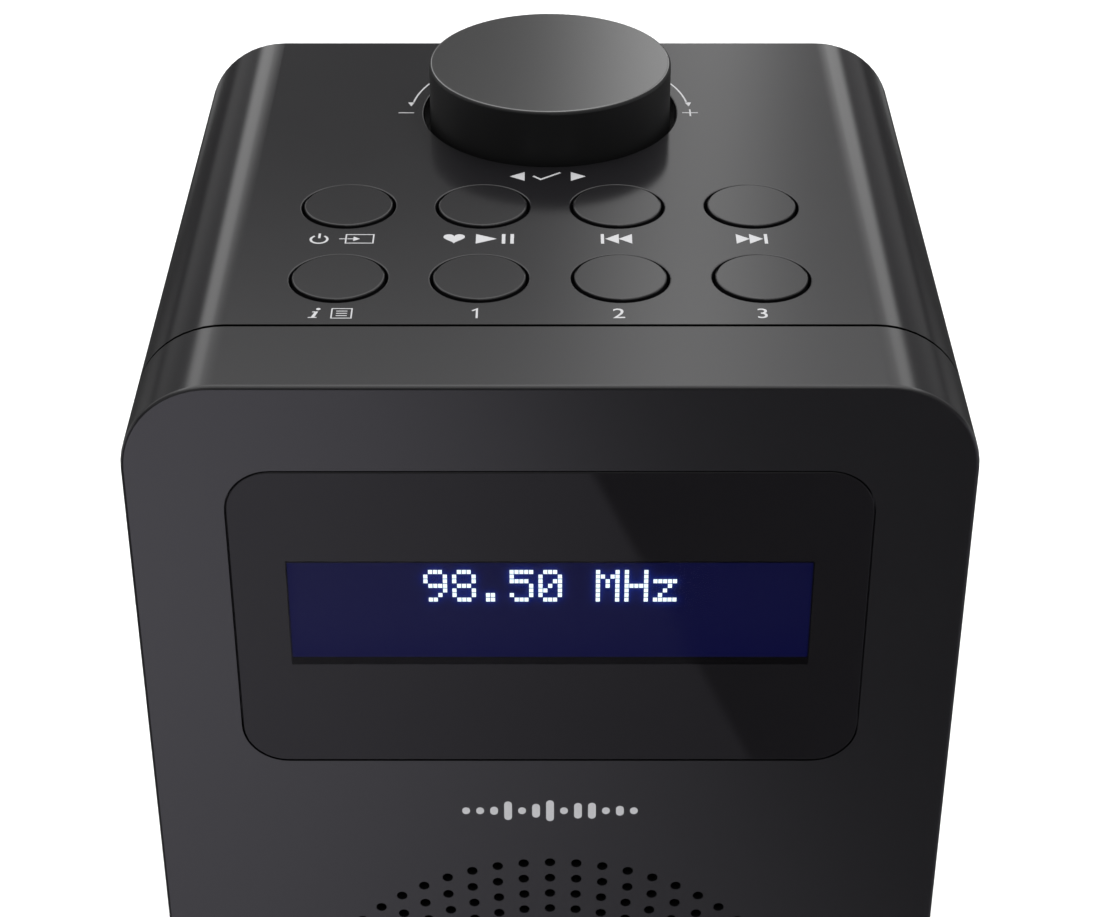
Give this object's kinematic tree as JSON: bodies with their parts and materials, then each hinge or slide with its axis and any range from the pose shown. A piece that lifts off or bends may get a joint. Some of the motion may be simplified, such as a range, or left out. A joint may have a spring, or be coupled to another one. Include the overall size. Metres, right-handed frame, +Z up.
{
  "type": "tabletop radio",
  "caption": "Small upright tabletop radio: graphite case with a front display window, round speaker grille, push buttons and a rotary knob on top, and a folding telescopic antenna behind.",
  "frame": {"origin": "on the table, level with the undersides of the feet, under the middle of the radio with its antenna folded", "axes": "+Z up, -Y out of the front face towards the listener, +X to the radio's right seen from the front"},
  "size_m": [0.102, 0.1074, 0.1716],
  "materials": {
    "housing_plastic": "satin graphite, fine moulded texture",
    "cover_plastic": "fine spark-eroded black",
    "button_plastic": "satin graphite",
    "knob_plastic": "satin graphite with a spun top",
    "foot_rubber": "matt",
    "lens_acrylic": "clear acrylic, polished",
    "mask_ink": "printed black sheet",
    "display_glass": "blue negative display",
    "backlight_plastic": "white light guide",
    "plated_steel": "zinc plated",
    "black_steel": "black",
    "board_green": "solder mask",
    "part_black": "moulded black",
    "can_metal": "bright",
    "connector_white": "natural nylon",
    "wire_insulation": "red and black PVC",
    "cloth": "black woven",
    "foam": "foam",
    "cone_paper": "pressed black paper",
    "ferrite": "sintered",
    "antenna_chrome": "bright chrome plate",
    "antenna_foot": "moulded black"
  },
  "bodies": {
    "root": {"front_housing": "housing_plastic", "cabinet_sleeve": "housing_plastic", "rear_cover": "cover_plastic", "antenna_rest": "cover_plastic", "rubber_feet": "foot_rubber", "display_lens": "lens_acrylic", "display_mask": "mask_ink", "lcd_glass": "display_glass", "lcd_backlight": "backlight_plastic", "housing_screws": "plated_steel", "board_screws": "plated_steel", "speaker_screws": "plated_steel", "encoder_nut": "plated_steel", "lcd_bezel": "black_steel", "speaker_basket": "black_steel", "speaker_top_plate": "black_steel", "speaker_yoke": "black_steel", "lcd_board": "board_green", "control_board": "board_green", "main_board": "board_green", "tact_switches": "part_black", "amplifier_chip": "part_black", "dc_jack": "part_black", "audio_jacks": "part_black", "speaker_terminal": "part_black", "radio_module": "can_metal", "capacitors": "can_metal", "encoder_body": "can_metal", "service_port": "can_metal", "board_connectors": "connector_white", "display_ribbon": "connector_white", "control_ribbon": "connector_white", "speaker_leads": "wire_insulation", "antenna_lead": "wire_insulation", "grille_cloth": "cloth", "speaker_gasket": "foam", "speaker_surround": "foam", "speaker_cone": "cone_paper", "speaker_dust_cap": "cone_paper", "speaker_voice_coil": "cone_paper", "speaker_magnet": "ferrite"},
    "power_button": {"button_power": "button_plastic"},
    "favourite_button": {"button_favourite": "button_plastic"},
    "previous_button": {"button_previous": "button_plastic"},
    "next_button": {"button_next": "button_plastic"},
    "menu_button": {"button_menu": "button_plastic"},
    "preset_1_button": {"button_preset_1": "button_plastic"},
    "preset_2_button": {"button_preset_2": "button_plastic"},
    "preset_3_button": {"button_preset_3": "button_plastic"},
    "encoder_plunger": {"encoder_plunger": "part_black"},
    "knob": {"knob": "knob_plastic", "encoder_shaft": "plated_steel"},
    "antenna_foot": {"antenna_base": "antenna_foot", "antenna_retainer": "plated_steel", "antenna_pin": "antenna_chrome"},
    "antenna_arm": {"antenna_elbow": "antenna_chrome", "antenna_section_1": "antenna_chrome"},
    "antenna_second": {"antenna_section_2": "antenna_chrome"},
    "antenna_third": {"antenna_section_3": "antenna_chrome"},
    "antenna_fourth": {"antenna_section_4": "antenna_chrome"}
  },
  "joints": [
    {"name": "power_press", "type": "slide", "parent": "root", "child": "power_button", "axis": [0, 0, -1], "range_m": [0, 0.0008], "stiffness_N_per_m": 500, "springref_m": -0.001},
    {"name": "favourite_press", "type": "slide", "parent": "root", "child": "favourite_button", "axis": [0, 0, -1], "range_m": [0, 0.0008], "stiffness_N_per_m": 500, "springref_m": -0.001},
    {"name": "previous_press", "type": "slide", "parent": "root", "child": "previous_button", "axis": [0, 0, -1], "range_m": [0, 0.0008], "stiffness_N_per_m": 500, "springref_m": -0.001},
    {"name": "next_press", "type": "slide", "parent": "root", "child": "next_button", "axis": [0, 0, -1], "range_m": [0, 0.0008], "stiffness_N_per_m": 500, "springref_m": -0.001},
    {"name": "menu_press", "type": "slide", "parent": "root", "child": "menu_button", "axis": [0, 0, -1], "range_m": [0, 0.0008], "stiffness_N_per_m": 500, "springref_m": -0.001},
    {"name": "preset_1_press", "type": "slide", "parent": "root", "child": "preset_1_button", "axis": [0, 0, -1], "range_m": [0, 0.0008], "stiffness_N_per_m": 500, "springref_m": -0.001},
    {"name": "preset_2_press", "type": "slide", "parent": "root", "child": "preset_2_button", "axis": [0, 0, -1], "range_m": [0, 0.0008], "stiffness_N_per_m": 500, "springref_m": -0.001},
    {"name": "preset_3_press", "type": "slide", "parent": "root", "child": "preset_3_button", "axis": [0, 0, -1], "range_m": [0, 0.0008], "stiffness_N_per_m": 500, "springref_m": -0.001},
    {"name": "knob_press", "type": "slide", "parent": "root", "child": "encoder_plunger", "axis": [0, 0, -1], "range_m": [0, 0.0008], "stiffness_N_per_m": 2000, "springref_m": -0.001},
    {"name": "knob_turn", "type": "hinge", "parent": "encoder_plunger", "child": "knob", "pos_m": [0, 0.0213, 0.164], "axis": [0, 0, 1], "continuous": true},
    {"name": "antenna_swivel", "type": "hinge", "parent": "root", "child": "antenna_foot", "pos_m": [-0.036, 0.0444, 0.1545], "axis": [0, -1, 0], "range_deg": [0, 180]},
    {"name": "antenna_elbow", "type": "hinge", "parent": "antenna_foot", "child": "antenna_arm", "pos_m": [-0.036, 0.0502, 0.1545], "axis": [0, 0, 1], "range_deg": [0, 90]},
    {"name": "antenna_extend_2", "type": "slide", "parent": "antenna_arm", "child": "antenna_second", "axis": [1, 0, 0], "range_m": [0, 0.05]},
    {"name": "antenna_extend_3", "type": "slide", "parent": "antenna_second", "child": "antenna_third", "axis": [1, 0, 0], "range_m": [0, 0.05]},
    {"name": "antenna_extend_4", "type": "slide", "parent": "antenna_third", "child": "antenna_fourth", "axis": [1, 0, 0], "range_m": [0, 0.05]}
  ],
  "couplings": [
    {"joint": "antenna_extend_3", "follows": "antenna_extend_2", "ratio": 1},
    {"joint": "antenna_extend_4", "follows": "antenna_extend_2", "ratio": 1}
  ]
}
